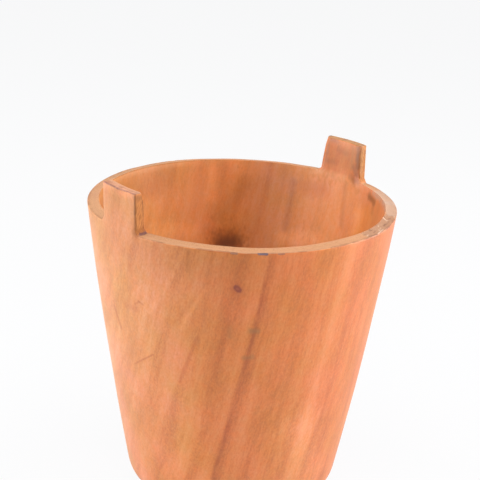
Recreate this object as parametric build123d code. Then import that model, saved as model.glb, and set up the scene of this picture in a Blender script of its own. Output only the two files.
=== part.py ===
from build123d import *
import os
from typing import NamedTuple

# A wooden piggin: a tapered pail hollowed from one block of wood, with two ears left standing on
# its rim. A board drops in from the mouth onto a ledge in the foot, and pegs pin it there.
# Millimetres, +Z up. The origin is the middle of the foot, on the ground. The ears lie along X.

# Wall of the pail
RIM_DIAMETER = 200.0  # outside, across the rim
RIM_HEIGHT = 198.0  # ground to rim
FOOT_DIAMETER = 138.5  # outside, where the wall would meet the ground with a square foot
WALL_BELLY = 1.7  # swell of the wall beyond a straight taper
RIM_WALL = 7.5  # wall thickness at the rim
RIM_SLOPE = 1.0  # rise of the rim's top from outside to inside
FOOT_WALL = 10.0  # wall thickness at the bottom of the hollow
FOOT_ROUND = 17.0  # outside radius of the foot
HOLLOW_ROUND = 8.0  # radius round the bottom of the hollow
WORN_EDGE = 1.6  # radius of the worn edges of the rim and the ears

# Ears, sawn by hand, so they differ and stand a little off the middle
EAR_TOP_WALL = 7.2  # thickness at the top, thinned from inside
EAR_CORNER = 2.5  # radius of the top corners
EAR_FOOT_CUT = 0.9  # cut off each upright edge inside the pail, at the rim
EAR_TOP_CUT = 0.5  # the same cut, at the top
LEFT_EAR_HEIGHT = 27.2  # above the rim
LEFT_EAR_BASE_WIDTH = 33.0
LEFT_EAR_TOP_WIDTH = 32.6
LEFT_EAR_BASE_SHIFT = 2.6  # along Y, at the rim
LEFT_EAR_TOP_SHIFT = -1.2  # along Y, at the top
RIGHT_EAR_HEIGHT = 24.3
RIGHT_EAR_BASE_WIDTH = 36.8
RIGHT_EAR_TOP_WIDTH = 33.9
RIGHT_EAR_BASE_SHIFT = -0.9
RIGHT_EAR_TOP_SHIFT = 1.2

# Board that closes the foot, and the ledge that it sits on
BASE_THICKNESS = 12.0
BASE_EDGE = 0.8  # chamfer round the board
BASE_SHOULDER = 1.5  # least width of the flat of the foot round the board, inside the hollow
BASE_CLEARANCE = 0.1  # between the board's edge and the seat
LEDGE_HEIGHT = 6.0  # ground to ledge
LEDGE_WIDTH = 5.0

# Pegs, driven through the foot into the edge of the board and trimmed flush
PEG_COUNT = 4
PEG_DIAMETER = 6.0
PEG_DEPTH = 12.0  # how far each peg goes into the board
PEG_CLEARANCE = 0.03  # round each peg, in its hole

RIM_RADIUS = RIM_DIAMETER / 2
HOLLOW_FLOOR = LEDGE_HEIGHT + BASE_THICKNESS
PEG_HEIGHT = LEDGE_HEIGHT + BASE_THICKNESS / 2
STANDING = (Align.CENTER, Align.CENTER, Align.MIN)


class Ear(NamedTuple):
    """An ear's side, -1 for the left one and 1 for the right one, and its sizes."""

    side: int
    height: float
    base_width: float
    top_width: float
    base_shift: float
    top_shift: float


LEFT_EAR = Ear(
    -1,
    LEFT_EAR_HEIGHT,
    LEFT_EAR_BASE_WIDTH,
    LEFT_EAR_TOP_WIDTH,
    LEFT_EAR_BASE_SHIFT,
    LEFT_EAR_TOP_SHIFT,
)
RIGHT_EAR = Ear(
    1,
    RIGHT_EAR_HEIGHT,
    RIGHT_EAR_BASE_WIDTH,
    RIGHT_EAR_TOP_WIDTH,
    RIGHT_EAR_BASE_SHIFT,
    RIGHT_EAR_TOP_SHIFT,
)


def wall_line(low, high):
    """A line of the wall in (radius, height): a taper with the belly's swell."""
    return SagittaArc(low, high, -WALL_BELLY)


def outside_line():
    return wall_line((FOOT_DIAMETER / 2, 0), (RIM_RADIUS, RIM_HEIGHT))


def radius_at(line, height):
    """Radius of a wall line at a height."""
    level = Line((0, height), (2 * RIM_RADIUS, height))
    return line.intersect(level).vertices()[0].X


def hollow_radius():
    """Radius of the hollow at its floor, before its corner is rounded."""
    return radius_at(outside_line(), HOLLOW_FLOOR) - FOOT_WALL


def seat_radius():
    """Radius of the seat that the board drops into."""
    return hollow_radius() - HOLLOW_ROUND - BASE_SHOULDER


def board_radius():
    return seat_radius() - BASE_CLEARANCE


def inside_line():
    mouth = (RIM_RADIUS - RIM_WALL, RIM_HEIGHT + RIM_SLOPE)
    return wall_line((hollow_radius(), HOLLOW_FLOOR), mouth)


def ear_lines(height):
    """Outside and inside of an ear in (radius, height), from the rim up. The outside goes straight on."""
    rim = outside_line() @ 1
    rise = outside_line() % 1
    top = rim + rise * (height / rise.Y)
    return Line(rim, top), Line(inside_line() @ 1, top - Vector(EAR_TOP_WALL, 0))


def turned(face):
    """The solid that a face in (radius, height) sweeps about Z."""
    return revolve(Plane.XZ * face, Axis.Z)


def nearest_corner(face, point):
    """The corner of a face at a point."""
    return face.vertices().sort_by_distance(point)[0]


def outline(lines, rounds):
    """A face inside lines, with the corner at each point of rounds rounded to its radius."""
    face = make_face(lines)
    for point, radius in rounds:
        face = fillet(nearest_corner(face, point), radius)
    return face


def pail_section(ear_height=0):
    """Half of the pail cut through its axis, at the rim or through an ear."""
    outer = [outside_line()]
    inner = [inside_line()]
    if ear_height > 0:
        ear_outside, ear_inside = ear_lines(ear_height)
        outer.append(ear_outside)
        inner.append(ear_inside)
    rim = Line(outer[-1] @ 1, inner[-1] @ 1)
    ledge_radius = seat_radius() - LEDGE_WIDTH
    seat = Polyline(
        inner[0] @ 0,
        (seat_radius(), HOLLOW_FLOOR),
        (seat_radius(), LEDGE_HEIGHT),
        (ledge_radius, LEDGE_HEIGHT),
        (ledge_radius, 0),
        outer[0] @ 0,
    )
    rounds = [
        (outer[0] @ 0, FOOT_ROUND),
        (inner[0] @ 0, HOLLOW_ROUND),
        (rim @ 0, WORN_EDGE),
        (rim @ 1, WORN_EDGE),
    ]
    return outline([*outer, rim, *inner, seat], rounds)


def outside():
    """Everything inside the pail's outer skin, up to the rim, as one solid."""
    outer = outside_line()
    closing = Polyline(outer @ 1, (0, RIM_HEIGHT), (0, 0), outer @ 0)
    return turned(outline([outer, closing], [(outer @ 0, FOOT_ROUND)]))


def ear_corners(ear):
    """Corners of an ear in (Y, height), from a root inside the wall, below the rim's worn edge."""
    root_depth = 2 * WORN_EDGE
    grow = root_depth / ear.height
    root_width = ear.base_width + (ear.base_width - ear.top_width) * grow
    root_shift = ear.base_shift + (ear.base_shift - ear.top_shift) * grow
    return [
        (root_shift - root_width / 2, RIM_HEIGHT - root_depth),
        (root_shift + root_width / 2, RIM_HEIGHT - root_depth),
        (ear.top_shift + ear.top_width / 2, RIM_HEIGHT + ear.height),
        (ear.top_shift - ear.top_width / 2, RIM_HEIGHT + ear.height),
    ]


def edge_cut(ear, end):
    """The plane of the cut along an ear's inner upright edge, at the end towards -Y (-1) or +Y (1)."""
    inside = ear_lines(ear.height)[1]
    levels = (
        (inside @ 0, ear.base_shift, ear.base_width, EAR_FOOT_CUT),
        (inside @ 1, ear.top_shift, ear.top_width, EAR_TOP_CUT),
    )
    line = []
    for inner_edge, shift, width, depth in levels:
        across = shift + end * width / 2
        reach = (inner_edge.X**2 - across**2) ** 0.5 + depth
        line.append(Vector(ear.side * reach, across, inner_edge.Y))
    along = line[1] - line[0]
    facing = Vector(-ear.side, end, 0)
    square_on = facing - along * (facing.dot(along) / along.dot(along))
    return Plane(origin=line[0], x_dir=along, z_dir=square_on)


def make_ear(ear):
    """One ear, with a root in the wall."""
    ring = turned(pail_section(ear.height))
    corners = ear_corners(ear)
    rounds = [(corner, EAR_CORNER) for corner in corners[2:]]
    face = outline([Polyline(*corners, close=True)], rounds)
    piece = ring & extrude(Plane.YZ * face, amount=ear.side * RIM_DIAMETER)
    for end in (-1, 1):
        piece = split(piece, edge_cut(ear, end), Keep.BOTTOM)
    return piece


def peg_rods(diameter):
    """Rods of a diameter along the pegs, from their inner ends to past the outside of the foot."""
    start = Location((board_radius() - PEG_DEPTH, 0, PEG_HEIGHT), (0, 90, 0))
    rod = start * Cylinder(diameter / 2, RIM_RADIUS, align=STANDING)
    return [Rotation(0, 0, number * 360 / PEG_COUNT) * rod for number in range(PEG_COUNT)]


def make_body():
    wall = turned(pail_section())
    ears = make_ear(LEFT_EAR) + make_ear(RIGHT_EAR)
    return wall + ears - peg_rods(PEG_DIAMETER + 2 * PEG_CLEARANCE)


def make_base_disc():
    board = Pos(0, 0, LEDGE_HEIGHT) * Cylinder(board_radius(), BASE_THICKNESS, align=STANDING)
    board = chamfer(board.edges().filter_by(GeomType.CIRCLE), BASE_EDGE)
    return board - peg_rods(PEG_DIAMETER + 2 * PEG_CLEARANCE)


def make_base_pegs():
    foot = outside()
    return Compound([(rod & foot).solid() for rod in peg_rods(PEG_DIAMETER)])


def main():
    os.makedirs("parts", exist_ok=True)
    pieces = {
        "body": make_body(),
        "base_disc": make_base_disc(),
        "base_pegs": make_base_pegs(),
    }
    for name, piece in pieces.items():
        export_step(piece, f"parts/{name}.step")
        size = piece.bounding_box().size
        print(f"{name}: {len(piece.solids())} solids, {piece.volume:.0f} mm3, {size}")


main()
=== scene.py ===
import math
from typing import NamedTuple

import bmesh
import bpy
from mathutils import Matrix, Vector


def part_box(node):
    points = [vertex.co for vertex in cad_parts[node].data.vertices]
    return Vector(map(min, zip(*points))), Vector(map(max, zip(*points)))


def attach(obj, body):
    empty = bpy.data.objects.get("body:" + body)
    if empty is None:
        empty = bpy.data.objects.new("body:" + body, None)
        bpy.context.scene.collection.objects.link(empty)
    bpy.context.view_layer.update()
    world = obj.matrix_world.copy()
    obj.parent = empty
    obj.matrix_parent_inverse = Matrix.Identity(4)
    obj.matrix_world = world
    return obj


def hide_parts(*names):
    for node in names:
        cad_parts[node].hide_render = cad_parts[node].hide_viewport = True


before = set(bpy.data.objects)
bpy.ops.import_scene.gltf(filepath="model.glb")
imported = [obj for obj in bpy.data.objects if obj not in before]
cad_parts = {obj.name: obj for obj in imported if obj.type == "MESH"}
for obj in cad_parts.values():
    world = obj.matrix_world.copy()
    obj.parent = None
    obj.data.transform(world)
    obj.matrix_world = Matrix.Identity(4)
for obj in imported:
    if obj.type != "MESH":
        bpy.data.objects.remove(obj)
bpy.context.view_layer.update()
board_low, board_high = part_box("base_disc")
pegs_low, pegs_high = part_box("base_pegs")

MM = 0.001

# Pail wall. Heights are above the ground, and the ears lie along X.
RIM_RADIUS = 100 * MM
RIM_HEIGHT = 198 * MM
FOOT_RADIUS = 69.25 * MM
WALL_BELLY = 1.7 * MM
RIM_WALL = 7.5 * MM
FOOT_WALL = 10 * MM
FOOT_ROUND = 17 * MM
HOLLOW_ROUND = 8 * MM
WORN_EDGE = 0.6 * MM
RIM_SLOPE = 1.2 * MM
LEDGE_WIDTH = 5 * MM
SEAT_GAP = 0.1 * MM

# Ears, which get thinner upwards from inside, flare at the foot and are worn at their inner top corners
EAR_TOP_WALL = 6.7 * MM
EAR_TOP_WEAR = 1.5 * MM
EAR_FLARE = 2 * MM


class Ear(NamedTuple):
    """An ear's side, -1 for the left one and 1 for the right one, and its sizes.

    Cuts are how much its inner upright edge at each end is cut off, at the rim and at the top.
    """

    side: int
    rise: float
    base_width: float
    top_width: float
    base_shift: float
    top_shift: float
    near_cut: tuple
    far_cut: tuple


SQUARE = (0, 0)
LEFT_EAR = Ear(-1, 26.9 * MM, 32.5 * MM, 32.1 * MM, 2.85 * MM, -0.95 * MM, SQUARE, SQUARE)
RIGHT_EAR = Ear(
    1,
    24.6 * MM,
    36.8 * MM,
    33.9 * MM,
    -0.9 * MM,
    1.2 * MM,
    (1.8 * MM, 0),
    (0.9 * MM, 2.8 * MM),
)

# Foot
LEDGE_HEIGHT = board_low.z
HOLLOW_FLOOR = board_high.z
SEAT_RADIUS = board_high.x + SEAT_GAP

# Pegs, whose ends stand a little proud of the foot
PEG_RADIUS = (pegs_high.z - pegs_low.z) / 2
PEG_HEIGHT = (pegs_high.z + pegs_low.z) / 2
PEG_HOLE_GAP = 0.05 * MM
PEG_DEPTH = 12 * MM
PEG_PROUD = 0.3 * MM
PEG_SIDES = 18
PEG_HOLE_SIDES = 24
PEG_COUNT = 4
PEG_EDGE = 0.2 * MM

# Steps of a peg's domed end: how far each is set in, and how far it is moved out
PEG_END_STEPS = [(0.7 * MM, 0.2 * MM), (1.1 * MM, 0.1 * MM)]

# Handwork: the wall above the foot and the top of the rim are a little uneven
WALL_UNEVEN = 0.9 * MM
WALL_UNEVEN_SPAN = 55 * MM
RIM_UNEVEN = 1.2 * MM
RIM_UNEVEN_SPAN = 38 * MM
EVEN_BELOW = 28 * MM
UNEVEN_ABOVE = 80 * MM

# Chips in the outer edge of the rim: angle about Z in degrees, half length and depth in millimetres
RIM_CHIPS = [
    (-135.7, 1.6, 0.6),
    (-126.1, 2.8, 1.0),
    (-119.9, 1.8, 0.6),
    (-70.0, 2.2, 0.7),
    (-31.0, 1.5, 0.6),
    (44.0, 2.6, 0.8),
    (77.4, 3.2, 1.0),
    (131.0, 1.9, 0.7),
]

# Fineness of the pail's mesh
OUTER_ROWS = 44
INNER_ROWS = 40
RIM_ROWS = 3
ROUND_STEPS = 8
EAR_COLUMNS = 12
SIDE_COLUMNS = 84
EAR_LEVELS = (0.12, 0.34, 0.56, 0.78, 1)
CHIP_FINENESS = 3

# How near a vertex lies to the level, the ear's end or the angle about Z that it is picked by
LEVEL_REACH = 0.1 * MM
END_REACH = 0.2 * MM
ANGLE_REACH = 0.001

# Distances at which vertices count as doubled, and faces as slivers
DOUBLED = 0.01 * MM
SLIVER = 0.003 * MM

# Angles between faces: edges above the first two are softened, and edges below the last are shaded smooth
WORN_ANGLE = math.radians(40)
PEG_EDGE_ANGLE = math.radians(50)
SMOOTH_ANGLE = math.radians(35)

# Camera, matched to the photograph: measured from the middle of the rim
CAMERA_LENS = 90
CAMERA_SENSOR = 36
CAMERA_DISTANCE = 779.5 * MM
CAMERA_TURN = math.radians(-43.7)
CAMERA_AIM = math.radians(0.03)
CAMERA_RISE = math.radians(17.69)
CAMERA_DIP = math.radians(19.6)
CAMERA_ROLL = math.radians(2.54)

# Strength of the room's soft light, and the paper's size in metres and share of glow where it is seen
ROOM_LIGHT = 0.05
FLOOR_SIZE = 8
FLOOR_GLOW = 0.95

# Square lamps: name, place to the right, away and up as the camera sees it, in metres, and power
SOFTBOX_SIZE = 1.2
SOFTBOXES = [
    ("left softbox", (-1.1, 0, 0.6), 18),
    ("right softbox", (1.1, 0.1, 0.6), 23.3),
    ("top softbox", (0, -0.6, 1.5), 19.5),
]

# Wood colours
DARK_LAYER = (0.41, 0.096, 0.018, 1)
MIDDLE_LAYER = (0.61, 0.180, 0.036, 1)
LIGHT_LAYER = (0.72, 0.255, 0.070, 1)
PORE_BROWN = (0.24, 0.065, 0.022, 1)
END_GRAIN = (0.46, 0.235, 0.113, 1)
END_GRAIN_DARK = (0.31, 0.132, 0.060, 1)
OLD_STAIN = (0.11, 0.034, 0.013, 1)
PURPLE_STAIN = (0.10, 0.028, 0.030, 1)
GREY_SMUDGE = (0.20, 0.105, 0.070, 1)
GREEN_SMUDGE = (0.27, 0.135, 0.045, 1)
RED_LINE = (0.42, 0.100, 0.035, 1)
# Pale scratches, which also paint highlights on the weathered rim
PALE_SCRATCH_AND_HIGHLIGHT = (0.85, 0.62, 0.46, 1)
BRUISE = (0.060, 0.045, 0.075, 1)
KNOT_RING = (0.21, 0.035, 0.018, 1)
DIRT_BROWN = (0.19, 0.068, 0.018, 1)
SAWN_END = (0.58, 0.225, 0.060, 1)
SAWN_END_DARK = (0.36, 0.115, 0.022, 1)
# Painted sheen on the far stretch of the rim
PAINTED_RIM_SHEEN = (0.43, 0.280, 0.205, 1)

# Tints that the wood's colour is multiplied by
TAN_TINT = (0.97, 1.03, 0.92, 1)
ROSY_TINT = (1.03, 0.97, 1.15, 1)
RED_SPECK = (1.02, 0.96, 0.86, 1)
GREEN_SPECK = (0.98, 1.04, 1.16, 1)
RIM_SHADE = (0.90, 0.875, 0.80, 1)
RIM_DIRT = (0.66, 0.58, 0.50, 1)

# The pail's growth layers stand upright and lean 10 degrees: the grain's way, the way across the layers,
# and how far these sway, in millimetres
GRAIN_LEAN = math.atan(0.18)
VIEW_RIGHT = Vector((math.cos(CAMERA_TURN), math.sin(CAMERA_TURN), 0))
UP = Vector((0, 0, 1))
PAIL_ALONG = VIEW_RIGHT * math.sin(GRAIN_LEAN) + UP * math.cos(GRAIN_LEAN)
PAIL_ACROSS = VIEW_RIGHT * math.cos(GRAIN_LEAN) - UP * math.sin(GRAIN_LEAN)
PAIL_WAVINESS = 6

# The same for the board and the pegs
BOARD_ALONG = (0.94, 0.34, 0)
BOARD_ACROSS = (0.17, -0.47, 0.866)
BOARD_WAVINESS = 14
PEG_ALONG = (0.7, 0.714, 0)
PEG_ACROSS = (0.5, -0.49, 0.714)
PEG_WAVINESS = 3

GRAIN_RESULTS = ("Layer", "Figure", "Fibre", "Pores", "Mottle", "Speck", "Tint", "End", "Inside")

# Broad layers of the pail's wood, from left to right: place across the layers in millimetres, and lightness
LAYER_SPAN = 110
PAIL_LAYERS = [
    (-92, 0.50),
    (-74, 0.56),
    (-64, 0.46),
    (-57, 0.60),
    (-50, 0.44),
    (-43, 0.58),
    (-36, 0.55),
    (-31, 0.38),
    (-27, 0.46),
    (-22, 0.64),
    (-19, 0.55),
    (-16.5, 0.14),
    (-13, 0.36),
    (-9, 0.55),
    (-3, 0.50),
    (5, 0.38),
    (11, 0.52),
    (18, 0.52),
    (24, 0.52),
    (32, 0.64),
    (38, 0.50),
    (41, 0.40),
    (44, 0.52),
    (47, 0.42),
    (52, 0.46),
    (57, 0.36),
    (64, 0.50),
    (90, 0.50),
]

# Tints by place across the layers, in millimetres: for all of the pail, with a painted sheen that makes its
# left and right sides paler, and for its inside
SIDE_SHEEN_TINTS = [
    (-105, (1.05, 1.50, 2.70, 1)),
    (-85, (1.03, 1.36, 2.45, 1)),
    (-35, (1, 1, 1, 1)),
    (5, (1, 1, 1, 1)),
    (35, (1.00, 1.03, 1.35, 1)),
    (60, (0.95, 0.96, 1.15, 1)),
]
INSIDE_TINTS = [
    (-80, (1.04, 1.08, 0.95, 1)),
    (-40, (0.98, 1.16, 1.40, 1)),
    (-20, (0.86, 1.15, 1.90, 1)),
    (-5, (0.91, 1.34, 2.55, 1)),
    (20, (1.10, 1.56, 2.80, 1)),
    (35, (1.14, 1.52, 2.25, 1)),
    (50, (0.99, 1.22, 1.68, 1)),
]

# Tints by height above the ground, in millimetres
HEIGHT_TINTS = [
    (20, (1.02, 1.02, 1.08, 1)),
    (120, (1.02, 1.02, 1.04, 1)),
    (185, (0.99, 0.96, 0.93, 1)),
]

# How far each part of the grain swings the wood's lightness
TONE_SWINGS = {"Figure": 0.34, "Mottle": 0.3, "Fibre": 0.3, "Speck": 0.4}

# How clear the wood's figure and broad layers are inside the pail, as shares of how clear they are outside
INSIDE_CLARITY = 0.6
INSIDE_LAYERS = 0.3

# How strongly the pail's pores, end grain and sawn ear ends show
PORE_SHARE = 0.16
END_SHARE = 0.9
SAWN_SHARE = 0.85

# Roughness of the pail's wood, and what its fibres, end grain and sawn ear ends add
OILED_ROUGHNESS = 0.36
FIBRE_ROUGHNESS = 0.16
END_ROUGHNESS = 0.2
SAWN_ROUGHNESS = 0.35

# Relief of the wood: depth of its fibres, and the pail's pores and strength by comparison
FIBRE_DEPTH = 0.15 * MM
PORE_RELIEF = -0.5
RELIEF_STRENGTH = 0.3

# Bands by height or across the layers, in millimetres: shade on the left below the rim, and dirt at its edge
SHADE_BELOW_RIM = (38, 5)
SHADE_ACROSS = (5, -40)
RIM_DIRT_WIDTH = 2.8

# Broad patches on the pail, each a stroke between two points, its half width and its tint, given as marks are
PAIL_PATCHES = [
    # Pale, low on the right and on the left
    ((43.0, -69.0, 72.0), (48.0, -56.0, 30.0), 24.0, (1.14, 1.28, 1.60, 1)),
    ((-32.0, -78.0, 90.0), (-33.0, -70.0, 35.0), 22.0, (1.04, 1.15, 1.27, 1)),
    # Pale and dark streaks that run down to the left below the left ear
    ((-33.5, -94.0, 194.0), (-39.1, -89.2, 177.3), 2.6, (1.08, 1.14, 1.22, 1)),
    ((-41.5, -87.6, 173.5), (-52.5, -77.6, 149.5), 2.8, (1.06, 1.12, 1.18, 1)),
    ((-19.4, -94.7, 171.7), (-33.2, -86.8, 144.1), 2.4, (1.09, 1.15, 1.20, 1)),
    ((-26.9, -91.9, 164.5), (-36.3, -86.1, 147.5), 2.2, (0.92, 0.88, 0.84, 1)),
    ((-29.6, -95.2, 195.6), (-30.0, -93.8, 183.0), 2.2, (0.86, 0.82, 0.74, 1)),
    ((-23.3, -89.2, 139.1), (-33.2, -80.9, 106.1), 2.2, (0.90, 0.80, 0.78, 1)),
    # Painted shade on the inside of the left wall below the rim, and brown on the back of the hollow, round
    # its dark patch, and on the right ear
    ((-82.0, 40.0, 190.0), (-55.0, 72.0, 190.0), 20.0, (0.78, 0.74, 0.66, 1)),
    ((-70.0, 56.0, 181.0), (-60.0, 67.0, 181.0), 13.0, (0.92, 0.86, 0.82, 1)),
    ((0.0, 91.0, 180.0), (-14.0, 86.0, 159.0), 11.0, (0.84, 0.85, 0.82, 1)),
    ((-13.0, 83.0, 141.0), (-7.0, 83.6, 141.0), 21.0, (0.74, 0.66, 0.54, 1)),
    ((47.0, 78.0, 184.0), (56.0, 71.5, 186.0), 11.0, (0.86, 0.80, 0.76, 1)),
    ((58.0, 74.0, 212.0), (76.0, 55.0, 212.0), 26.0, (0.68, 0.665, 0.32, 1)),
    # Pale on the inside: low on the left and on the right, and below the far rim
    ((-60.0, 61.0, 152.0), (-37.0, 77.0, 148.0), 12.0, (1.18, 1.24, 1.36, 1)),
    ((31.0, 79.5, 145.0), (55.0, 66.4, 150.0), 10.0, (1.18, 1.22, 1.34, 1)),
    ((79.5, 40.5, 178.0), (78.5, 40.0, 164.0), 10.0, (1.18, 1.26, 1.22, 1)),
    ((-22.0, 88.5, 192.0), (-22.0, 87.5, 172.0), 8.0, (1.18, 1.18, 1.24, 1)),
    ((-7.0, 92.0, 194.0), (14.0, 91.0, 194.0), 10.0, (1.12, 1.16, 1.34, 1)),
    ((20.0, 88.5, 186.0), (38.0, 83.5, 186.0), 14.0, (1.00, 1.02, 1.24, 1)),
    # Redder on the inside beside the left ear, and more orange beside the right one
    ((-91.9, -2.0, 189.0), (-90.0, 18.0, 189.0), 15.0, (0.84, 0.78, 0.86, 1)),
    ((84.0, 31.0, 182.0), (81.0, 33.0, 168.0), 11.0, (1.07, 1.05, 0.74, 1)),
    # Paler and pinker on top of the left ear, and painted light at the far top corner of the right one, whose
    # cut face looks away from the lamps
    ((-62.0, -81.0, 225.0), (-83.0, -59.0, 225.0), 7.0, (1.22, 1.18, 1.50, 1)),
    ((57.0, 78.4, 222.5), (56.6, 77.6, 213.0), 4.0, (1.40, 1.40, 1.50, 1)),
    # Streaks down the inside
    ((36.3, 83.9, 187.0), (32.0, 80.2, 152.0), 4.5, (0.80, 0.80, 0.94, 1)),
    ((70.9, 58.5, 193.6), (69.8, 53.9, 165.7), 4.5, (0.85, 0.81, 0.78, 1)),
    # Brown at the near feet of the ears, at the left one partly the sawn end's colour and partly painted
    # shade on its slope that faces the top lamp, and paler on the near end of the right one
    ((-61.5, -77.5, 199.8), (-57.5, -73.8, 200.2), 4.6, (0.68, 0.58, 0.36, 1)),
    ((76.5, 49.5, 199.5), (81.8, 55.0, 199.5), 5.0, (0.80, 0.74, 0.66, 1)),
    ((80.0, 52.0, 206.0), (81.0, 55.0, 221.0), 4.5, (1.16, 1.42, 3.00, 1)),
    ((77.5, 50.0, 199.5), (78.5, 49.0, 198.5), 5.0, (0.84, 0.76, 0.64, 1)),
]

# Weathered stretch of the rim: strokes with their half widths, their softness, how grey they are, and the way
# that the streaks on them run
WEATHERED_RIM = [
    ((77.0, -58.0, 198.4), (86.6, -42.0, 198.4), 5.0),
    ((86.6, -42.0, 198.4), (93.8, -21.5, 198.4), 5.0),
]
WEATHERED_SOFTNESS = 0.6
WEATHERED_GREY = 0.4
WEATHERED_WAY = math.radians(23)

# Streaks on that stretch: colour, the noise levels that they fade in between, and strength
WEATHERED_STREAKS = [
    (OLD_STAIN, 0.54, 0.66, 0.55),
    (PALE_SCRATCH_AND_HIGHLIGHT, 0.40, 0.28, 0.40),
]

# Marks on the pail, each a stroke between two points given in millimetres to the right of the axis as the
# photograph shows it, away from the camera, and above the ground: then its half width, softness,
# strength and colour
PAIL_MARKS = [
    # Pin knot, the ring round it and the dash beside it
    ((-2.2, -97.2, 175.8), (0.8, -97.0, 173.8), 4.2, 1.0, 0.40, RED_LINE),
    ((-1.3, -97.2, 175.7), (0.2, -97.0, 174.1), 2.4, 0.6, 0.80, KNOT_RING),
    ((-0.7, -97.1, 175.0), (-0.3, -97.1, 174.6), 1.1, 0.9, 0.45, RED_LINE),
    ((-5.2, -96.9, 174.7), (-3.6, -96.9, 174.6), 1.0, 0.9, 0.35, RED_LINE),
    # Faint knot
    ((-62.3, -70.3, 151.2), (-59.7, -73.1, 154.2), 1.2, 0.9, 0.35, RED_LINE),
    ((-59.7, -73.1, 154.2), (-57.1, -74.9, 153.1), 1.2, 0.9, 0.40, RED_LINE),
    ((-68.5, -63.6, 147.5), (-61.7, -70.3, 148.0), 3.5, 1.0, 0.25, RED_LINE),
    # Smudges beside the main dark layer
    ((8.5, -92.9, 146.8), (12.5, -92.5, 146.8), 3.2, 1.0, 0.55, GREEN_SMUDGE),
    ((5.0, -90.5, 128.0), (10.0, -90.2, 128.4), 2.8, 1.0, 0.45, GREEN_SMUDGE),
    ((-4.2, -93.2, 148.5), (-4.0, -93.0, 142.5), 3.5, 1.0, 0.25, GREEN_SMUDGE),
    # Thin resin lines
    ((-62.9, -60.8, 106.6), (-57.0, -67.7, 113.2), 1.1, 1.0, 0.45, RED_LINE),
    ((-57.0, -67.7, 113.2), (-50.5, -73.8, 119.7), 1.1, 1.0, 0.55, RED_LINE),
    ((-76.6, -51.8, 140.8), (-72.1, -55.0, 128.1), 2.2, 1.0, 0.50, RED_LINE),
    # Dark patch low on the back of the hollow, and a smudge under its rim
    ((-12.5, 82.0, 138.0), (-6.5, 82.8, 138.0), 13.5, 1.0, 0.90, OLD_STAIN),
    ((85.6, 33.5, 193.8), (88.6, 25.5, 192.5), 4.6, 1.0, 0.75, DIRT_BROWN),
    ((88.4, 25.5, 189.5), (87.6, 25.0, 185.0), 4.0, 1.0, 0.30, DIRT_BROWN),
    # Foot of the left ear, and the dirty edges of its near end and its top
    ((-59.0, -77.0, 198.6), (-55.6, -74.4, 198.8), 1.6, 0.8, 0.85, PURPLE_STAIN),
    ((-61.8, -77.9, 202.0), (-61.9, -82.5, 222.0), 1.5, 1.0, 0.60, DIRT_BROWN),
    ((-61.9, -80.0, 212.0), (-61.9, -82.6, 223.0), 1.6, 1.0, 0.60, DIRT_BROWN),
    ((-57.3, -75.4, 209.0), (-57.9, -77.8, 221.0), 1.2, 1.0, 0.75, DIRT_BROWN),
    ((-61.5, -82.0, 222.5), (-59.5, -79.8, 222.0), 3.4, 1.0, 0.50, DIRT_BROWN),
    ((-61.5, -82.4, 224.9), (-73.5, -71.8, 224.9), 1.2, 0.9, 0.60, PURPLE_STAIN),
    ((-73.5, -71.8, 224.9), (-83.3, -59.5, 224.9), 1.2, 0.9, 0.60, PURPLE_STAIN),
    # Bruised chips in the rim
    ((-5.0, -99.6, 197.6), (-1.8, -99.6, 197.6), 0.9, 0.6, 0.65, GREY_SMUDGE),
    ((10.8, -98.6, 197.6), (15.2, -98.2, 197.6), 1.2, 0.6, 0.90, BRUISE),
    ((22.2, -97.2, 197.6), (25.4, -96.6, 197.6), 0.9, 0.6, 0.65, GREY_SMUDGE),
    # Painted sheen on the far stretch of the rim, and scratches in its weathered stretch
    ((94.9, -16.0, 198.4), (96.2, 6.0, 198.4), 5.5, 0.5, 0.60, PAINTED_RIM_SHEEN),
    ((96.2, 6.0, 198.4), (91.4, 30.0, 198.4), 5.5, 0.5, 0.60, PAINTED_RIM_SHEEN),
    ((77.0, -61.0, 198.3), (82.5, -56.0, 198.3), 1.1, 1.0, 0.60, OLD_STAIN),
    ((88.0, -41.0, 198.5), (92.0, -31.0, 198.5), 1.3, 1.0, 0.45, OLD_STAIN),
    # Pale scratches, partly painted highlights
    ((88.2, -26.6, 199.0), (91.0, -29.4, 198.6), 1.0, 1.0, 0.75, PALE_SCRATCH_AND_HIGHLIGHT),
    ((83.3, -54.6, 198.2), (86.9, -46.4, 198.4), 0.9, 1.0, 0.50, PALE_SCRATCH_AND_HIGHLIGHT),
    # Dirt along the edges of the right ear
    ((60.5, 74.0, 221.9), (64.0, 70.0, 221.6), 3.0, 1.0, 0.45, GREY_SMUDGE),
    ((58.6, 75.6, 217.0), (58.0, 74.6, 211.5), 2.4, 1.0, 0.35, DIRT_BROWN),
    ((65.4, 67.2, 216.0), (69.6, 62.6, 215.5), 4.5, 1.0, 0.35, DIRT_BROWN),
    ((58.2, 72.7, 206.4), (62.4, 68.3, 206.9), 4.0, 1.0, 0.40, DIRT_BROWN),
    ((74.1, 58.8, 219.6), (73.6, 56.3, 206.9), 3.0, 1.0, 0.40, GREEN_SMUDGE),
    ((78.2, 55.2, 221.5), (78.6, 52.6, 208.5), 3.2, 1.0, 0.75, DIRT_BROWN),
    ((77.0, 55.0, 216.7), (77.4, 53.7, 213.3), 3.2, 1.0, 0.40, DIRT_BROWN),
    ((75.1, 54.9, 207.8), (77.5, 51.4, 203.4), 3.6, 1.0, 0.50, DIRT_BROWN),
    ((73.9, 54.5, 200.2), (75.6, 52.3, 198.7), 4.0, 1.0, 0.45, DIRT_BROWN),
]


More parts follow.
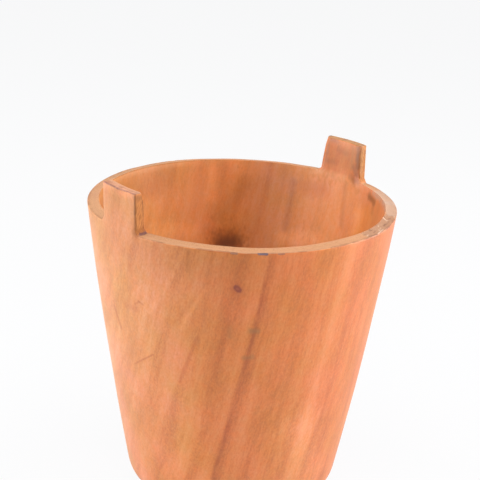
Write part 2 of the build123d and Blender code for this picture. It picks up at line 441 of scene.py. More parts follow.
def taper(height, low_radius, low_height, high_radius):
    """Radius of a wall line at a height: a straight taper up to the rim with a shallow swell."""
    share = (height - low_height) / (RIM_HEIGHT - low_height)
    return low_radius + (high_radius - low_radius) * share + 4 * WALL_BELLY * share * (1 - share)


def outer_radius(height):
    return taper(height, FOOT_RADIUS, 0, RIM_RADIUS)


def inner_radius(height):
    return taper(height, outer_radius(HOLLOW_FLOOR) - FOOT_WALL, HOLLOW_FLOOR, RIM_RADIUS - RIM_WALL)


def round_middle(wall, floor, radius):
    """Slope of a wall line near a level floor, and the middle of an arc of a radius that joins the two."""
    slope = (wall(floor + radius) - wall(floor)) / radius
    return slope, wall(floor) + slope * radius - radius * math.hypot(1, slope)


def corner_round(wall, floor, radius):
    """Points in (radius, height) of an arc that joins a level floor to a wall line, from the floor up."""
    slope, centre = round_middle(wall, floor, radius)
    lowest = -math.pi / 2
    highest = -math.atan(slope)
    points = []
    for step in range(ROUND_STEPS + 1):
        angle = lowest + (highest - lowest) * step / ROUND_STEPS
        points.append((centre + radius * math.cos(angle), floor + radius + radius * math.sin(angle)))
    return points


def wall_rows(wall, low, high, rows):
    """Points in (radius, height) up a wall line, without its lowest one."""
    heights = [low + (high - low) * row / rows for row in range(1, rows + 1)]
    return [(wall(height), height) for height in heights]


def pail_outline():
    """Closed outline of the pail's wall in (radius, height), from the foot's inner edge, out and up."""
    ledge_radius = SEAT_RADIUS - LEDGE_WIDTH
    foot = corner_round(outer_radius, 0, FOOT_ROUND)
    outer = wall_rows(outer_radius, foot[-1][1], RIM_HEIGHT, OUTER_ROWS)
    hollow = corner_round(inner_radius, HOLLOW_FLOOR, HOLLOW_ROUND)
    inner = wall_rows(inner_radius, hollow[-1][1], RIM_HEIGHT, INNER_ROWS)
    rim = [(RIM_RADIUS - RIM_WALL * step / RIM_ROWS, RIM_HEIGHT) for step in range(1, RIM_ROWS)]
    seat = [
        (SEAT_RADIUS, HOLLOW_FLOOR),
        (SEAT_RADIUS, LEDGE_HEIGHT),
        (ledge_radius, LEDGE_HEIGHT),
        (ledge_radius, 0),
    ]
    return [(ledge_radius, 0), *foot, *outer, *rim, *reversed(inner), *reversed(hollow), *seat]


def start_piece(name):
    """A new piece of one vertex at the origin, open in edit mode."""
    bpy.ops.object.select_all(action="DESELECT")
    bpy.ops.mesh.primitive_plane_add(size=MM)
    piece = bpy.context.object
    piece.name = name
    bpy.ops.object.mode_set(mode="EDIT")
    bpy.ops.mesh.merge(type="CENTER")
    return piece


def draw_chain(points):
    """Moves the one selected vertex to the first point and extrudes it through the others."""
    bpy.ops.transform.translate(value=points[0])
    for here, there in zip(points, points[1:]):
        bpy.ops.mesh.extrude_vertices_move(TRANSFORM_OT_translate={"value": there - here})


def spin(angle, steps):
    """Spins what is selected counterclockwise about Z; the operator itself goes clockwise."""
    bpy.ops.mesh.spin(steps=steps, angle=-angle, center=(0, 0, 0), axis=(0, 0, 1))


def close_mesh():
    """Merges doubled vertices and turns all the faces outwards."""
    bpy.ops.mesh.select_all(action="SELECT")
    bpy.ops.mesh.remove_doubles(threshold=DOUBLED)
    bpy.ops.mesh.normals_make_consistent(inside=False)


def pick(piece, kind, wanted):
    """Selects the vertices or faces, in edit mode, whose place and normal pass a test."""
    bpy.ops.mesh.select_mode(type=kind)
    bpy.ops.mesh.select_all(action="DESELECT")
    mesh = bmesh.from_edit_mesh(piece.data)
    if kind == "FACE":
        chosen = [face for face in mesh.faces if wanted(face.calc_center_median(), face.normal)]
    else:
        chosen = [vertex for vertex in mesh.verts if wanted(vertex.co, vertex.normal)]
    for element in chosen:
        element.select_set(True)
    mesh.select_flush_mode()
    bmesh.update_edit_mesh(piece.data)


def finish_piece(piece, modifiers):
    """Leaves edit mode and applies modifiers, each given as its kind and settings."""
    bpy.ops.object.mode_set(mode="OBJECT")
    for kind, settings in modifiers:
        modifier = piece.modifiers.new(kind.lower(), kind)
        for setting, value in settings.items():
            setattr(modifier, setting, value)
        bpy.ops.object.modifier_apply(modifier=modifier.name)


def softened(width, segments, angle):
    """Settings of a bevel of the edges that are sharper than an angle."""
    return {"width": width, "segments": segments, "limit_method": "ANGLE", "angle_limit": angle}


def ear_end_angle(ear, end):
    """Angle about Z of one end of an ear at the rim: end is -1 or 1, along Y."""
    width, shift = ear_sizes(ear, 0)[:2]
    lean = math.asin((shift + end * width / 2) / (RIM_RADIUS - RIM_WALL / 2))
    return lean if ear.side > 0 else math.pi - lean


def ear_sizes(ear, share):
    """Width, shift along Y, wall and outer radius of an ear at a share of its rise."""
    slope = (outer_radius(RIM_HEIGHT) - outer_radius(RIM_HEIGHT - MM)) / MM
    flare = 2 * EAR_FLARE if share == 0 else 0
    width = ear.base_width + (ear.top_width - ear.base_width) * share + flare
    shift = ear.base_shift + (ear.top_shift - ear.base_shift) * share
    wall = RIM_WALL + (EAR_TOP_WALL - RIM_WALL) * share
    return width, shift, wall, RIM_RADIUS + slope * ear.rise * share


def square_off_ear(piece, ear):
    """Sets the ends of an ear's stretch of the rim square across the wall."""
    middle = RIM_RADIUS - RIM_WALL / 2
    for end in (-1, 1):
        angle = ear_end_angle(ear, end)
        pick(
            piece,
            "VERT",
            lambda spot, normal: abs(spot.z - RIM_HEIGHT) < LEVEL_REACH
            and abs(math.remainder(math.atan2(spot.y, spot.x) - angle, 2 * math.pi)) < ANGLE_REACH,
        )
        bpy.ops.transform.resize(value=(1, 0, 1), center_override=(0, middle * math.sin(angle), 0))


def cut_ear_end(piece, ear, end, share):
    """Moves the inner corner at one end of an ear outwards, by its cut and by the wear of its top.

    The rows across the end follow, so that they stay evenly spread.
    """
    width, shift, wall, radius = ear_sizes(ear, share)
    across = shift + end * width / 2
    height = RIM_HEIGHT + ear.rise * share
    inner_corner = math.sqrt(radius**2 - across**2) - wall
    foot_cut, top_cut = ear.near_cut if end < 0 else ear.far_cut
    depth = foot_cut + (top_cut - foot_cut) * share + EAR_TOP_WEAR * share**8
    row_width = wall / RIM_ROWS
    for row in reversed(range(RIM_ROWS)):
        pick(
            piece,
            "VERT",
            lambda spot, normal: abs(spot.z - height) < LEVEL_REACH
            and abs(spot.y - across) < END_REACH
            and abs(spot.x * ear.side - inner_corner - row * row_width) < row_width / 2,
        )
        bpy.ops.transform.translate(value=(depth * (1 - row / RIM_ROWS) * ear.side, 0, 0))


def raise_ear(piece, ear):
    """Extrudes a stretch of the rim up and outwards into an ear, and cuts its inner upright edges."""
    square_off_ear(piece, ear)
    pick(
        piece,
        "FACE",
        lambda spot, normal: normal.z > 0.9
        and spot.z > RIM_HEIGHT - LEVEL_REACH
        and spot.x * ear.side > 0
        and abs(spot.y - ear.base_shift) < ear.base_width / 2 + EAR_FLARE,
    )
    below = 0
    for share in EAR_LEVELS:
        old_width, old_shift, old_wall, old_radius = ear_sizes(ear, below)
        width, shift, wall, radius = ear_sizes(ear, share)
        step = ((radius - old_radius) * ear.side, shift - old_shift, ear.rise * (share - below))
        bpy.ops.mesh.extrude_region_move(TRANSFORM_OT_translate={"value": step})
        bpy.ops.transform.resize(
            value=(wall / old_wall, width / old_width, 1),
            center_override=(radius * ear.side, shift, 0),
        )
        below = share
    for share in EAR_LEVELS:
        for end in (-1, 1):
            cut_ear_end(piece, ear, end, share)


def slope_rim(piece):
    """Lifts the rim's inner edge, so that its top slopes outwards."""
    pick(
        piece,
        "VERT",
        lambda spot, normal: abs(spot.z - RIM_HEIGHT) < LEVEL_REACH
        and math.hypot(spot.x, spot.y) < RIM_RADIUS - RIM_WALL + MM,
    )
    bpy.ops.transform.translate(value=(0, 0, RIM_SLOPE))


def grade_unevenness(piece):
    """Two vertex groups: the wall above the foot, and the top of the rim and ears."""
    wall = piece.vertex_groups.new(name="wall")
    rim = piece.vertex_groups.new(name="rim")
    for vertex in piece.data.vertices:
        wall_share = (vertex.co.z - EVEN_BELOW) / (UNEVEN_ABOVE - EVEN_BELOW)
        rim_share = (vertex.co.z - UNEVEN_ABOVE) / (RIM_HEIGHT - UNEVEN_ABOVE)
        wall.add([vertex.index], min(max(wall_share, 0), 1), "REPLACE")
        rim.add([vertex.index], min(max(rim_share, 0), 1), "REPLACE")


def uneven(name, group, direction, strength, span):
    """Settings of a displacement by soft clouds of a span."""
    texture = bpy.data.textures.new(name, "CLOUDS")
    texture.noise_scale = span
    texture.noise_depth = 1
    return {
        "texture": texture,
        "texture_coords": "LOCAL",
        "vertex_group": group,
        "direction": direction,
        "strength": strength,
    }


def make_cutter():
    """Rods for the peg holes and small ellipsoids for the chips in the rim, as one mesh."""
    bpy.ops.object.select_all(action="DESELECT")
    parts = []
    for number in range(PEG_COUNT):
        angle = number * 2 * math.pi / PEG_COUNT
        reach = SEAT_RADIUS + FOOT_WALL
        bpy.ops.mesh.primitive_cylinder_add(
            radius=PEG_RADIUS + PEG_HOLE_GAP,
            depth=2 * FOOT_WALL + 2 * FOOT_ROUND,
            vertices=PEG_HOLE_SIDES,
            location=(reach * math.cos(angle), reach * math.sin(angle), PEG_HEIGHT),
            rotation=(0, math.pi / 2, angle),
        )
        parts.append(bpy.context.object)
    for degrees, half_length, depth in RIM_CHIPS:
        angle = math.radians(degrees)
        bpy.ops.mesh.primitive_ico_sphere_add(
            subdivisions=CHIP_FINENESS,
            radius=MM,
            scale=(depth, half_length, depth),
            location=(RIM_RADIUS * math.cos(angle), RIM_RADIUS * math.sin(angle), RIM_HEIGHT),
            rotation=(0, 0, angle),
        )
        parts.append(bpy.context.object)
    for part in parts:
        part.select_set(True)
    bpy.ops.object.join()
    return bpy.context.object


def dissolve_slivers():
    """Dissolves faces of the active piece that are too thin to see, which a cut leaves along its edges."""
    bpy.ops.object.mode_set(mode="EDIT")
    bpy.ops.mesh.select_all(action="SELECT")
    bpy.ops.mesh.dissolve_degenerate(threshold=SLIVER)
    bpy.ops.object.mode_set(mode="OBJECT")


def spin_pail():
    """Draws the pail's outline and spins it about Z, in four arcs that end at the ears' edges."""
    edges = [
        ear_end_angle(RIGHT_EAR, -1),
        ear_end_angle(RIGHT_EAR, 1),
        ear_end_angle(LEFT_EAR, 1),
        ear_end_angle(LEFT_EAR, -1),
    ]
    start = Matrix.Rotation(edges[0], 3, "Z")
    draw_chain([start @ Vector((radius, 0, height)) for radius, height in pail_outline()])
    bpy.ops.mesh.select_all(action="SELECT")
    for number, columns in enumerate((EAR_COLUMNS, SIDE_COLUMNS, EAR_COLUMNS, SIDE_COLUMNS)):
        turn = (edges[(number + 1) % 4] - edges[number]) % (2 * math.pi)
        spin(turn, columns)
    close_mesh()


def cut_pail(piece):
    """Cuts the peg holes and the chips."""
    cutter = make_cutter()
    bpy.ops.object.select_all(action="DESELECT")
    piece.select_set(True)
    bpy.context.view_layer.objects.active = piece
    finish_piece(piece, [("BOOLEAN", {"object": cutter, "operation": "DIFFERENCE", "solver": "MANIFOLD"})])
    bpy.data.objects.remove(cutter)
    dissolve_slivers()


def make_pail():
    """The hollowed block with its ears, as worn and uneven as handwork is."""
    piece = start_piece("pail")
    spin_pail()
    raise_ear(piece, LEFT_EAR)
    raise_ear(piece, RIGHT_EAR)
    slope_rim(piece)
    finish_piece(piece, [("BEVEL", softened(WORN_EDGE, 3, WORN_ANGLE))])
    grade_unevenness(piece)
    finish_piece(
        piece,
        [
            ("DISPLACE", uneven("wall unevenness", "wall", "NORMAL", WALL_UNEVEN, WALL_UNEVEN_SPAN)),
            ("DISPLACE", uneven("rim unevenness", "rim", "Z", RIM_UNEVEN, RIM_UNEVEN_SPAN)),
        ],
    )
    cut_pail(piece)
    bpy.ops.object.shade_smooth_by_angle(angle=SMOOTH_ANGLE)
    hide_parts("body")
    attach(piece, "root")
    return piece


def make_peg(number):
    """A peg with a trimmed, softened end that follows the slope of the foot."""
    bpy.ops.object.select_all(action="DESELECT")
    slope = math.asin((FOOT_ROUND - PEG_HEIGHT) / FOOT_ROUND)
    outer_end = round_middle(outer_radius, 0, FOOT_ROUND)[1] + FOOT_ROUND * math.cos(slope) + PEG_PROUD
    inner_end = SEAT_RADIUS - SEAT_GAP - PEG_DEPTH
    length = outer_end - inner_end
    bpy.ops.mesh.primitive_cylinder_add(
        radius=PEG_RADIUS,
        depth=length,
        vertices=PEG_SIDES,
        location=(inner_end + length / 2, 0, PEG_HEIGHT),
        rotation=(0, math.pi / 2, 0),
    )
    piece = bpy.context.object
    piece.name = f"base_peg_{number + 1}"
    bpy.ops.object.transform_apply(location=True, rotation=True, scale=True)
    bpy.ops.object.mode_set(mode="EDIT")
    pick(piece, "FACE", lambda spot, normal: normal.x > 0.9)
    bpy.ops.transform.rotate(value=-slope, orient_axis="Y", center_override=(outer_end, 0, PEG_HEIGHT))
    for step_in, step_out in PEG_END_STEPS:
        bpy.ops.mesh.inset(thickness=step_in)
        bpy.ops.transform.translate(value=(step_out, 0, 0))
    finish_piece(piece, [("BEVEL", softened(PEG_EDGE, 2, PEG_EDGE_ANGLE))])
    bpy.ops.object.shade_smooth_by_angle(angle=SMOOTH_ANGLE)
    piece.data.transform(Matrix.Rotation(number * 2 * math.pi / PEG_COUNT, 4, "Z"))
    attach(piece, "root")
    return piece


def place(tree, kind, feeds=None, **settings):
    """Adds a shader node with settings, and feeds its inputs with values or with other nodes' sockets."""
    node = tree.nodes.new("ShaderNode" + kind)
    for name, value in settings.items():
        setattr(node, name, value)
    for key, value in (feeds or {}).items():
        if isinstance(value, bpy.types.NodeSocket):
            tree.links.new(value, node.inputs[key])
        else:
            node.inputs[key].default_value = value
    return node


def work_out(tree, operation, *values):
    """A Math node's result."""
    return place(tree, "Math", dict(enumerate(values)), operation=operation).outputs[0]


def vector_sum(tree, operation, *values):
    """A Vector Math node's result, its value where it gives one."""
    node = place(tree, "VectorMath", dict(enumerate(values)), operation=operation)
    return node.outputs["Value" if operation in ("DOT_PRODUCT", "LENGTH") else "Vector"]


def soft_step(tree, value, low, high, at_low=0, at_high=1):
    """A smooth change from one value to another as value goes from low to high."""
    feeds = {"Value": value, "From Min": low, "From Max": high, "To Min": at_low, "To Max": at_high}
    return place(tree, "MapRange", feeds, interpolation_type="SMOOTHSTEP").outputs[0]


def blend(tree, share, first, second, kind="MIX"):
    """Two colours mixed by a share."""
    return place(tree, "Mix", {0: share, 6: first, 7: second}, data_type="RGBA", blend_type=kind).outputs[2]


def stain(tree, colour, stain_colour, mask, strength):
    """A colour blended towards a stain's, by a mask and a strength."""
    return blend(tree, work_out(tree, "MULTIPLY", mask, strength), colour, stain_colour)


def clouds(tree, vector, sizes, detail=1):
    """Soft noise between 0 and 1 whose patches have sizes, in millimetres, along the vector's three axes."""
    scaled = vector_sum(tree, "DIVIDE", vector, sizes)
    return place(tree, "TexNoise", {"Vector": scaled, "Scale": 1, "Detail": detail}).outputs[0]


def ramp(tree, value, stops):
    """A colour ramp's colour, from stops given as places and colours."""
    node = place(tree, "ValToRGB", {0: value})
    elements = node.color_ramp.elements
    for number, (position, colour) in enumerate(stops):
        element = elements[number] if number < 2 else elements.new(position)
        element.position = position
        element.color = colour
    return node.outputs[0]


def grey(level):
    return (level, level, level, 1)


def start_group(name, inputs, outputs):
    """A new node group with its input sockets and output sockets, given as names and kinds."""
    group = bpy.data.node_groups.new(name, "ShaderNodeTree")
    for title, kind in inputs:
        group.interface.new_socket(title, in_out="INPUT", socket_type="NodeSocket" + kind)
    for title, kind in outputs:
        group.interface.new_socket(title, in_out="OUTPUT", socket_type="NodeSocket" + kind)
    source = group.nodes.new("NodeGroupInput")
    sink = group.nodes.new("NodeGroupOutput")
    return group, source.outputs, sink.inputs


def finish_group(group, sink, results):
    for title, socket in results.items():
        group.links.new(socket, sink[title])
    return group


def in_millimetres(tree):
    """Object coordinates in millimetres."""
    place_on_piece = place(tree, "TexCoord").outputs["Object"]
    return place(tree, "VectorMath", {0: place_on_piece, "Scale": 1 / MM}, operation="SCALE").outputs[0]


def make_grain_group():
    """Solid wood cut at any angle: growth layers, their fine figure, fibres, pores and end grain."""
    group, given, sink = start_group(
        "wood grain",
        [("Along", "Vector"), ("Across", "Vector"), ("Waviness", "Float")],
        [(title, "Float") for title in GRAIN_RESULTS],
    )
    spot = in_millimetres(group)
    side_way = vector_sum(group, "CROSS_PRODUCT", given["Across"], given["Along"])
    along = vector_sum(group, "DOT_PRODUCT", spot, given["Along"])
    across = vector_sum(group, "DOT_PRODUCT", spot, given["Across"])
    side = vector_sum(group, "DOT_PRODUCT", spot, side_way)
    straight = place(group, "CombineXYZ", {0: across, 1: side, 2: along}).outputs[0]
    slow = work_out(group, "SUBTRACT", clouds(group, straight, (40, 90, 130)), 0.5)
    quick = work_out(group, "SUBTRACT", clouds(group, straight, (14, 26, 45)), 0.5)
    sway = work_out(group, "MULTIPLY_ADD", quick, 0.3, slow)
    layer = work_out(group, "MULTIPLY_ADD", sway, given["Waviness"], across)
    grain = place(group, "CombineXYZ", {0: layer, 1: side, 2: along}).outputs[0]
    wide = clouds(group, grain, (9, 40, 90), 2)
    narrow = clouds(group, grain, (3.2, 16, 30), 2)
    fine = clouds(group, grain, (1.3, 4, 9), 1)
    figure = work_out(group, "MULTIPLY_ADD", narrow, 0.6, wide)
    figure = work_out(group, "MULTIPLY_ADD", fine, 0.4, figure)
    figure = soft_step(group, figure, 0.66, 1.34)
    fibre = clouds(group, grain, (0.5, 0.6, 3.5), 2)
    pores = soft_step(group, clouds(group, grain, (0.75, 0.9, 4), 0), 0.66, 0.76)
    clusters = soft_step(group, clouds(group, straight, (16, 16, 40)), 0.5, 0.68)
    pores = work_out(group, "MULTIPLY", pores, clusters)
    mottle = clouds(group, straight, (26, 26, 34), 3)
    speck = clouds(group, straight, (1.1, 1.1, 1.7), 1)
    tint = clouds(group, straight, (3, 3, 5), 2)
    facing = place(group, "TexCoord").outputs["Normal"]
    end = work_out(group, "ABSOLUTE", vector_sum(group, "DOT_PRODUCT", facing, given["Along"]))
    inwards = vector_sum(group, "NORMALIZE", vector_sum(group, "MULTIPLY", spot, (-1, -1, 0)))
    results = {
        "Layer": layer,
        "Figure": figure,
        "Fibre": fibre,
        "Pores": pores,
        "Mottle": mottle,
        "Speck": speck,
        "Tint": tint,
        "End": soft_step(group, end, 0.70, 0.95),
        "Inside": vector_sum(group, "DOT_PRODUCT", facing, inwards),
    }
    return finish_group(group, sink, results)


def make_mark_group():
    """A stroke between two points, in millimetres right, away and up as the photograph shows the pail."""
    group, given, sink = start_group(
        "mark",
        [("From", "Vector"), ("To", "Vector"), ("Half Width", "Float"), ("Softness", "Float")],
        [("Mask", "Float")],
    )
    turned = {"Vector": in_millimetres(group), "Angle": -CAMERA_TURN}
    spot = place(group, "VectorRotate", turned, rotation_type="Z_AXIS").outputs[0]
    stroke = vector_sum(group, "SUBTRACT", given["To"], given["From"])
    offset = vector_sum(group, "SUBTRACT", spot, given["From"])
    share = work_out(
        group,
        "DIVIDE",
        vector_sum(group, "DOT_PRODUCT", offset, stroke),
        vector_sum(group, "DOT_PRODUCT", stroke, stroke),
    )
    share = place(group, "Clamp", {0: share}).outputs[0]
    nearest = place(group, "VectorMath", {0: stroke, "Scale": share}, operation="SCALE").outputs[0]
    distance = vector_sum(group, "LENGTH", vector_sum(group, "SUBTRACT", offset, nearest))
    ragged = work_out(group, "SUBTRACT", clouds(group, spot, (2.5, 2.5, 4), 2), 0.5)
    reach = work_out(group, "MULTIPLY", distance, work_out(group, "MULTIPLY_ADD", ragged, 1.1, 1))
    share_out = work_out(group, "DIVIDE", reach, given["Half Width"])
    start = work_out(group, "SUBTRACT", 1, given["Softness"])
    return finish_group(group, sink, {"Mask": soft_step(group, share_out, start, 1.0, 1, 0)})


def start_material(name):
    """A material with a shader and its node tree."""
    material = bpy.data.materials.new(name)
    material.use_nodes = True
    return material, material.node_tree, material.node_tree.nodes["Principled BSDF"]


def cut_grain(tree, grain_group, along, across, waviness):
    """The wood grain's results for a piece with its grain along one way and its layers across another."""
    ways = {"Along": along, "Across": across, "Waviness": waviness}
    return place(tree, "Group", ways, node_tree=grain_group).outputs


def feed_shader(tree, shader, colour, roughness, height, distance, strength):
    """Links colour, roughness and a bump of a height to a shader."""
    tree.links.new(colour, shader.inputs["Base Color"])
    tree.links.new(roughness, shader.inputs["Roughness"])
    bump = place(tree, "Bump", {"Height": height, "Distance": distance, "Strength": strength})
    tree.links.new(bump.outputs[0], shader.inputs["Normal"])


def sawn_ends(tree, above_rim):
    """1 on the upright ends of the ears."""
    facing = place(tree, "TexCoord").outputs["Normal"]
    endwise = work_out(tree, "ABSOLUTE", vector_sum(tree, "DOT_PRODUCT", facing, (0, 1, 0)))
    return work_out(tree, "MULTIPLY", soft_step(tree, endwise, 0.5, 0.85), above_rim)


def rim_dirt(tree):
    """Dirt in the worn outer edge of the rim, thicker in some stretches than in others."""
    spot = in_millimetres(tree)
    radius = vector_sum(tree, "LENGTH", vector_sum(tree, "MULTIPLY", spot, (1, 1, 0)))
    edge = soft_step(tree, radius, RIM_RADIUS / MM - RIM_DIRT_WIDTH, RIM_RADIUS / MM)
    facing_up = vector_sum(tree, "DOT_PRODUCT", place(tree, "TexCoord").outputs["Normal"], (0, 0, 1))
    edge = work_out(tree, "MULTIPLY", edge, soft_step(tree, facing_up, 0.1, 0.4))
    return work_out(tree, "MULTIPLY", edge, soft_step(tree, clouds(tree, spot, (7, 7, 7), 4), 0.35, 0.6))


def weathered_streaks(tree, low, high):
    """Streaks along the weathered stretch of the rim, which fade in as their noise goes from low to high."""
    turned = {"Vector": in_millimetres(tree), "Angle": -WEATHERED_WAY}
    spot = place(tree, "VectorRotate", turned, rotation_type="Z_AXIS").outputs[0]
    return soft_step(tree, clouds(tree, spot, (5, 1.6, 5), 3), low, high)


def layer_ramp(tree, layer, stops):
    """A colour by the place across the layers, from stops given as places in millimetres and colours."""
    span = work_out(tree, "MULTIPLY_ADD", layer, 0.5 / LAYER_SPAN, 0.5)
    return ramp(tree, span, [(0.5 + 0.5 * across / LAYER_SPAN, colour) for across, colour in stops])


def faded(tree, inside, share):
    """1 outside the pail and a share inside it."""
    return work_out(tree, "MULTIPLY_ADD", inside, share - 1, 1)


def wood_tone(tree, grain, inside):
    """Lightness of the pail's wood: its broad layers, with their figure, mottle, fibres and specks."""
    layers = layer_ramp(tree, grain["Layer"], [(across, grey(level)) for across, level in PAIL_LAYERS])
    swing = work_out(tree, "SUBTRACT", layers, 0.5)
    tone = work_out(tree, "MULTIPLY_ADD", swing, faded(tree, inside, INSIDE_LAYERS), 0.5)
    clarity = faded(tree, inside, INSIDE_CLARITY)
    for title, size in TONE_SWINGS.items():
        swing = work_out(tree, "MULTIPLY_ADD", grain[title], size, -size / 2)
        tone = work_out(tree, "MULTIPLY_ADD", swing, clarity, tone)
    return tone


def tinted(tree, colour, tint, share=1):
    """A colour multiplied by a tint, by a share."""
    return blend(tree, share, colour, tint, "MULTIPLY")


def mark_mask(tree, mark_group, start, stop, half_width, softness):
    stroke = {"From": start, "To": stop, "Half Width": half_width, "Softness": softness}
    return place(tree, "Group", stroke, node_tree=mark_group).outputs["Mask"]


def rim_shade(tree, grain, inside, height):
    """1 in a band below the rim, on the left of the outside."""
    rim = RIM_HEIGHT / MM
    lowest, highest = SHADE_BELOW_RIM
    below_rim = soft_step(tree, height, rim - lowest, rim - highest)
    shade = work_out(tree, "MULTIPLY", below_rim, soft_step(tree, grain["Layer"], *SHADE_ACROSS))
    return work_out(tree, "MULTIPLY", shade, faded(tree, inside, 0))


def wood_colour(tree, grain, inside, height):
    """Colour of the pail's wood: its layers, tinted by place, with a painted sheen towards its left and right
    sides, and its pores.
    """
    rim = RIM_HEIGHT / MM
    tone = wood_tone(tree, grain, inside)
    colour = ramp(tree, tone, [(0.05, DARK_LAYER), (0.95, LIGHT_LAYER), (0.5, MIDDLE_LAYER)])
    mottle = ramp(tree, grain["Mottle"], [(0.35, TAN_TINT), (0.65, ROSY_TINT)])
    colour = tinted(tree, colour, mottle, faded(tree, inside, INSIDE_CLARITY))
    colour = tinted(tree, colour, ramp(tree, grain["Tint"], [(0.3, RED_SPECK), (0.7, GREEN_SPECK)]))
    # Painted sheen: paler towards the pail's left and right sides
    colour = tinted(tree, colour, layer_ramp(tree, grain["Layer"], SIDE_SHEEN_TINTS))
    level = work_out(tree, "DIVIDE", height, rim)
    colour = tinted(tree, colour, ramp(tree, level, [(stop / rim, tint) for stop, tint in HEIGHT_TINTS]))
    colour = tinted(tree, colour, RIM_SHADE, rim_shade(tree, grain, inside, height))
    colour = tinted(tree, colour, layer_ramp(tree, grain["Layer"], INSIDE_TINTS), inside)
    return stain(tree, colour, PORE_BROWN, grain["Pores"], PORE_SHARE)


def weathered_rim(tree, colour, mark_group):
    """A colour with the grey of the rim's weathered stretch and the streaks on it."""
    weathered = 0
    for start, stop, half_width in WEATHERED_RIM:
        mask = mark_mask(tree, mark_group, start, stop, half_width, WEATHERED_SOFTNESS)
        weathered = work_out(tree, "MAXIMUM", weathered, mask)
    colour = stain(tree, colour, GREY_SMUDGE, weathered, WEATHERED_GREY)
    for stain_colour, low, high, strength in WEATHERED_STREAKS:
        streaks = work_out(tree, "MULTIPLY", weathered, weathered_streaks(tree, low, high))
        colour = stain(tree, colour, stain_colour, streaks, strength)
    return colour


def make_carved_wood(grain_group, mark_group):
    """Oiled red-brown wood of the pail, with broad layers that lean across the front."""
    material, tree, shader = start_material("carved_wood")
    grain = cut_grain(tree, grain_group, PAIL_ALONG, PAIL_ACROSS, PAIL_WAVINESS)
    height = place(tree, "SeparateXYZ", {0: in_millimetres(tree)}).outputs[2]
    rim = RIM_HEIGHT / MM
    below_ears = soft_step(tree, height, rim + 4, rim)
    inside = work_out(tree, "MULTIPLY", soft_step(tree, grain["Inside"], 0.2, 0.8), below_ears)
    colour = wood_colour(tree, grain, inside, height)
    end_tone = ramp(tree, grain["Fibre"], [(0.3, END_GRAIN_DARK), (0.5, END_GRAIN)])
    colour = stain(tree, colour, end_tone, grain["End"], END_SHARE)
    colour = tinted(tree, colour, RIM_DIRT, rim_dirt(tree))
    sawn = sawn_ends(tree, soft_step(tree, height, rim - 0.2, rim + 1))
    sawn_tone = ramp(tree, grain["Fibre"], [(0.35, SAWN_END_DARK), (0.6, SAWN_END)])
    colour = stain(tree, colour, sawn_tone, sawn, SAWN_SHARE)
    for start, stop, half_width, tint in PAIL_PATCHES:
        colour = tinted(tree, colour, tint, mark_mask(tree, mark_group, start, stop, half_width, 1))
    colour = weathered_rim(tree, colour, mark_group)
    for start, stop, half_width, softness, strength, stain_colour in PAIL_MARKS:
        mask = mark_mask(tree, mark_group, start, stop, half_width, softness)
        colour = stain(tree, colour, stain_colour, mask, strength)
    roughness = work_out(tree, "MULTIPLY_ADD", grain["Fibre"], FIBRE_ROUGHNESS, OILED_ROUGHNESS)
    roughness = work_out(tree, "MULTIPLY_ADD", grain["End"], END_ROUGHNESS, roughness)
    roughness = work_out(tree, "MULTIPLY_ADD", sawn, SAWN_ROUGHNESS, roughness)
    relief = work_out(tree, "MULTIPLY_ADD", grain["Pores"], PORE_RELIEF, grain["Fibre"])
    feed_shader(tree, shader, colour, roughness, relief, FIBRE_DEPTH, RELIEF_STRENGTH)
    return material


def make_base_board(grain_group):
    """Paler flat-sawn board that closes the foot."""
    material, tree, shader = start_material("base_board")
    grain = cut_grain(tree, grain_group, BOARD_ALONG, BOARD_ACROSS, BOARD_WAVINESS)
    tone = work_out(tree, "MULTIPLY_ADD", grain["Figure"], 0.6, 0.1)
    tone = work_out(tree, "MULTIPLY_ADD", grain["Mottle"], 0.4, tone)
    colour = ramp(tree, tone, [(0.1, DARK_LAYER), (0.9, LIGHT_LAYER), (0.5, MIDDLE_LAYER)])
    colour = stain(tree, colour, PORE_BROWN, grain["Pores"], 0.35)
    colour = stain(tree, colour, END_GRAIN_DARK, grain["End"], 0.7)
    roughness = work_out(tree, "MULTIPLY_ADD", grain["Fibre"], 0.2, 0.42)
    relief = work_out(tree, "MULTIPLY_ADD", grain["Pores"], -0.8, grain["Fibre"])
    feed_shader(tree, shader, colour, roughness, relief, FIBRE_DEPTH, 0.4)
    return material


def make_peg_wood(grain_group):
    """Darker wood of the pegs, with its grain at 45 degrees to each of them."""
    material, tree, shader = start_material("peg_wood")
    grain = cut_grain(tree, grain_group, PEG_ALONG, PEG_ACROSS, PEG_WAVINESS)
    tone = work_out(tree, "MULTIPLY_ADD", grain["Fibre"], 0.8, 0.1)
    colour = ramp(tree, tone, [(0.2, PORE_BROWN), (0.8, MIDDLE_LAYER), (0.5, DARK_LAYER)])
    roughness = work_out(tree, "MULTIPLY_ADD", grain["Fibre"], 0.2, 0.5)
    feed_shader(tree, shader, colour, roughness, grain["Fibre"], 0.2 * MM, 0.5)
    return material


def seen_rays(tree):
    """1 for rays that reach the camera straight, off a gloss or through a clear piece."""
    path = place(tree, "LightPath").outputs
    seen = work_out(tree, "MAXIMUM", path["Is Camera Ray"], path["Is Glossy Ray"])
    return work_out(tree, "MAXIMUM", seen, path["Is Transmission Ray"])


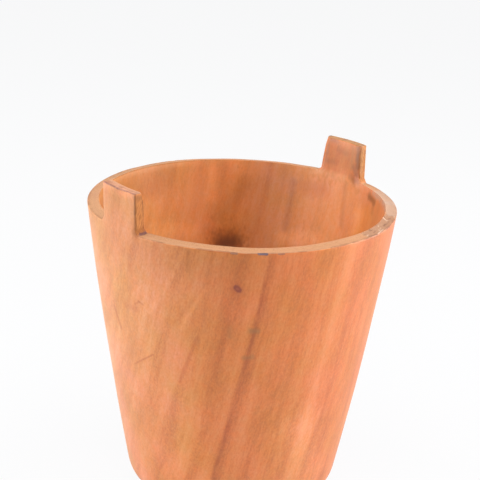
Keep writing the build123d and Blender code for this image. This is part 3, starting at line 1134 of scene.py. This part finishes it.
def make_floor_white():
    """White paper under the pail: near white where the camera sees it, and it keeps the pail's shadow."""
    material, tree, shader = start_material("floor_white")
    shader.inputs["Base Color"].default_value = (0.86, 0.86, 0.87, 1)
    shader.inputs["Roughness"].default_value = 0.9
    shader.inputs["Specular IOR Level"].default_value = 0.1
    glow = place(tree, "Emission", {"Color": (0.972, 0.974, 0.980, 1), "Strength": 1})
    share = work_out(tree, "MULTIPLY", seen_rays(tree), FLOOR_GLOW)
    mixed = place(tree, "MixShader", {0: share, 1: shader.outputs[0], 2: glow.outputs[0]})
    tree.links.new(mixed.outputs[0], tree.nodes["Material Output"].inputs["Surface"])
    return material


def make_camera():
    data = bpy.data.cameras.new("camera")
    data.lens = CAMERA_LENS
    data.sensor_width = CAMERA_SENSOR
    camera = bpy.data.objects.new("camera", data)
    bpy.context.scene.collection.objects.link(camera)
    back = Vector((math.sin(CAMERA_TURN), -math.cos(CAMERA_TURN), math.tan(CAMERA_RISE))).normalized()
    spot = Matrix.Translation(Vector((0, 0, RIM_HEIGHT)) + back * CAMERA_DISTANCE)
    turn = Matrix.Rotation(CAMERA_TURN + CAMERA_AIM, 4, "Z")
    dip = Matrix.Rotation(math.pi / 2 - CAMERA_DIP, 4, "X")
    roll = Matrix.Rotation(CAMERA_ROLL, 4, "Z")
    camera.matrix_world = spot @ turn @ dip @ roll
    bpy.context.scene.camera = camera


def make_softbox(name, seen_at, power):
    """A large square lamp, placed as the camera sees it, that faces the middle of the pail."""
    data = bpy.data.lights.new(name, "AREA")
    data.size = SOFTBOX_SIZE
    data.energy = power
    lamp = bpy.data.objects.new(name, data)
    bpy.context.scene.collection.objects.link(lamp)
    spot = Matrix.Rotation(CAMERA_TURN, 3, "Z") @ Vector(seen_at)
    aim = Vector((0, 0, RIM_HEIGHT / 2)) - spot
    lamp.matrix_world = Matrix.Translation(spot) @ aim.to_track_quat("-Z", "Y").to_matrix().to_4x4()


def make_world():
    """A room that lights softly and looks white."""
    world = bpy.data.worlds.new("studio")
    world.use_nodes = True
    tree = world.node_tree
    background = tree.nodes["Background"]
    background.inputs["Color"].default_value = (1, 1, 1, 1)
    strength = work_out(tree, "MULTIPLY_ADD", seen_rays(tree), 1 - ROOM_LIGHT, ROOM_LIGHT)
    tree.links.new(strength, background.inputs["Strength"])
    bpy.context.scene.world = world


def dress(piece, material):
    """Gives a piece one material."""
    piece.data.materials.clear()
    piece.data.materials.append(material)


def make_stage():
    bpy.ops.object.select_all(action="DESELECT")
    bpy.ops.mesh.primitive_plane_add(size=FLOOR_SIZE)
    floor = bpy.context.object
    floor.name = "floor"
    dress(floor, make_floor_white())
    make_world()
    for name, seen_at, power in SOFTBOXES:
        make_softbox(name, seen_at, power)


make_camera()
make_stage()
pail = make_pail()
pegs = [make_peg(number) for number in range(PEG_COUNT)]
for peg in pegs:
    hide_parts("base_pegs")

grain_group = make_grain_group()
mark_group = make_mark_group()
dress(pail, make_carved_wood(grain_group, mark_group))
peg_wood = make_peg_wood(grain_group)
for peg in pegs:
    dress(peg, peg_wood)
dress(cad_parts["base_disc"], make_base_board(grain_group))

bpy.context.scene.view_settings.view_transform = "Standard"
